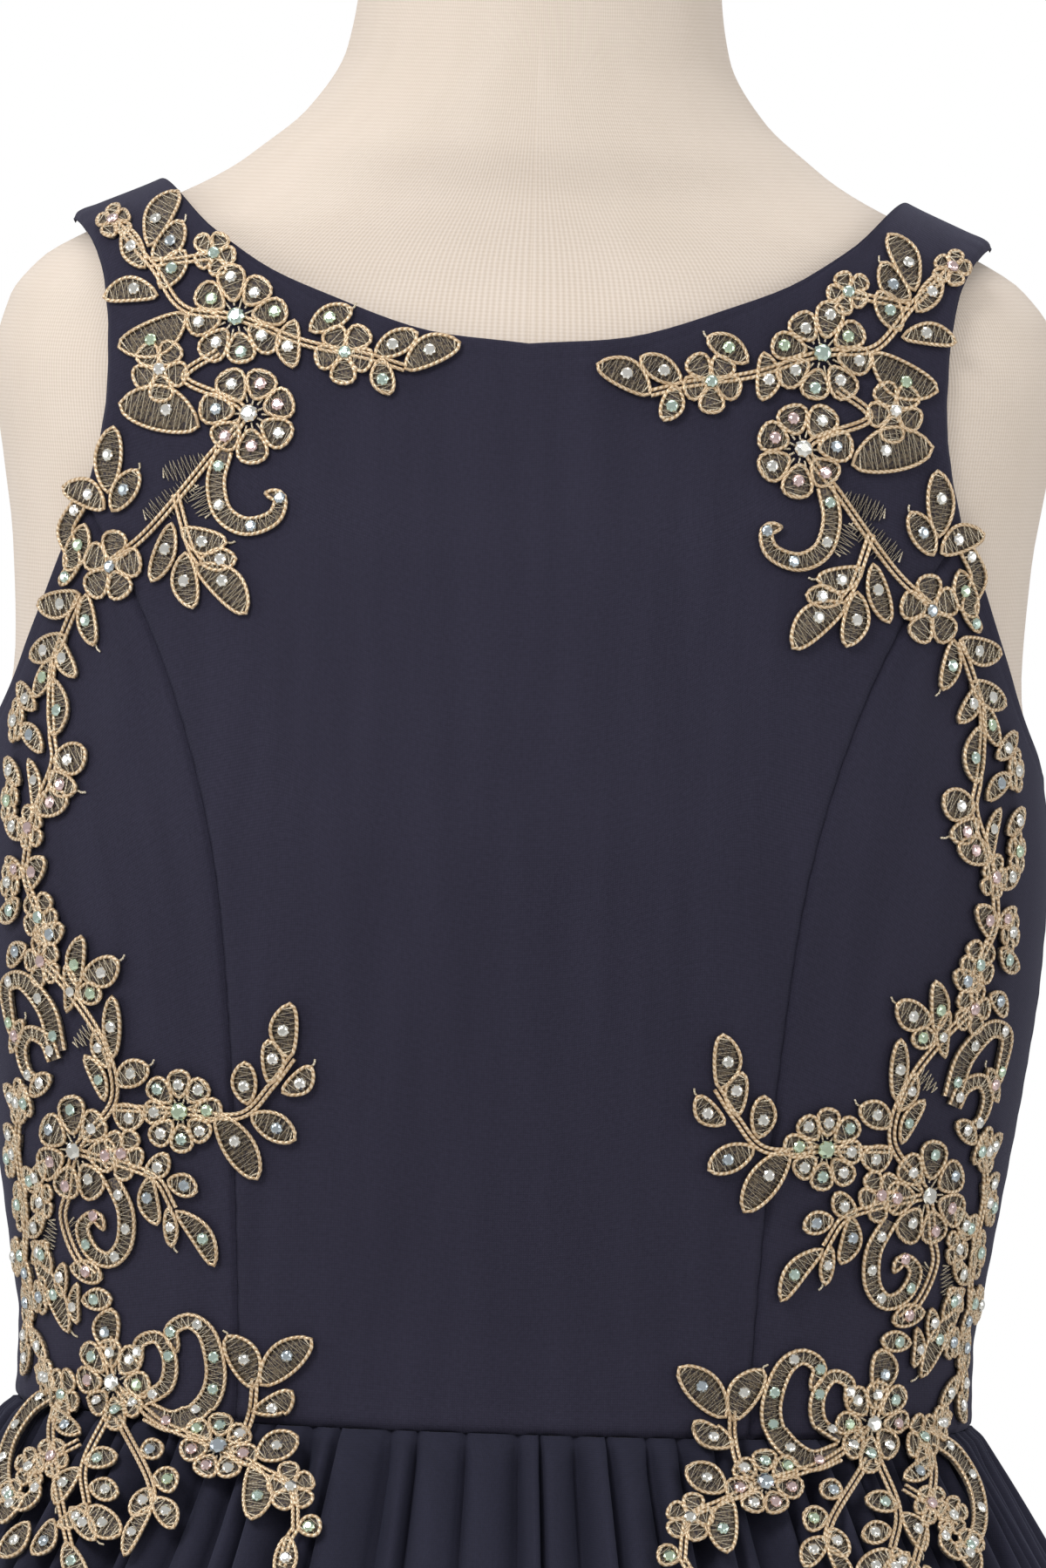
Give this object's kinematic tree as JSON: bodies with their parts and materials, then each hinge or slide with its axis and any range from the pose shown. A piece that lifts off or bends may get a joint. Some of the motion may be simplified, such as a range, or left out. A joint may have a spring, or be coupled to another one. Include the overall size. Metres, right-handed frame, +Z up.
{
  "type": "girl's party dress on a dress form",
  "caption": "Girl's sleeveless floor-length party dress with raised gold lace and a gathered skirt, standing on a limbless dress form.",
  "frame": {"origin": "on the floor, under the middle of the stand's round plate", "axes": "+Z up, -Y towards the dress's front, +X towards the wearer's left"},
  "size_m": [0.6106, 0.5727, 1.1443],
  "materials": {
    "bodice_crepe": "navy crepe, matt",
    "skirt_chiffon": "navy chiffon, soft",
    "gold_lace": "antique gold cord and thread",
    "zip_metal": "navy enamel",
    "form_jersey": "cream knitted cover",
    "turned_wood": "satin varnish",
    "stand_steel": "satin"
  },
  "bodies": {
    "dress_and_form": {"front_centre": "bodice_crepe", "side_front_left": "bodice_crepe", "side_front_right": "bodice_crepe", "back_left": "bodice_crepe", "back_right": "bodice_crepe", "skirt_front": "skirt_chiffon", "skirt_back_left": "skirt_chiffon", "skirt_back_right": "skirt_chiffon", "lace_neck_left": "gold_lace", "lace_neck_right": "gold_lace", "lace_armhole_left": "gold_lace", "lace_armhole_right": "gold_lace", "lace_side_left": "gold_lace", "lace_side_right": "gold_lace", "lace_waist_left": "gold_lace", "lace_waist_right": "gold_lace", "zip_slider": "zip_metal", "form_torso": "form_jersey", "form_neck_cap": "turned_wood", "form_pole": "stand_steel", "form_base": "stand_steel"},
    "pull_tab": {"zip_pull": "zip_metal"}
  },
  "joints": [
    {"name": "pull_tab_hinge", "type": "hinge", "parent": "dress_and_form", "child": "pull_tab", "pos_m": [0, 0.08348, 1.00269], "axis": [1, 0, 0], "range_deg": [0, 150]}
  ]
}
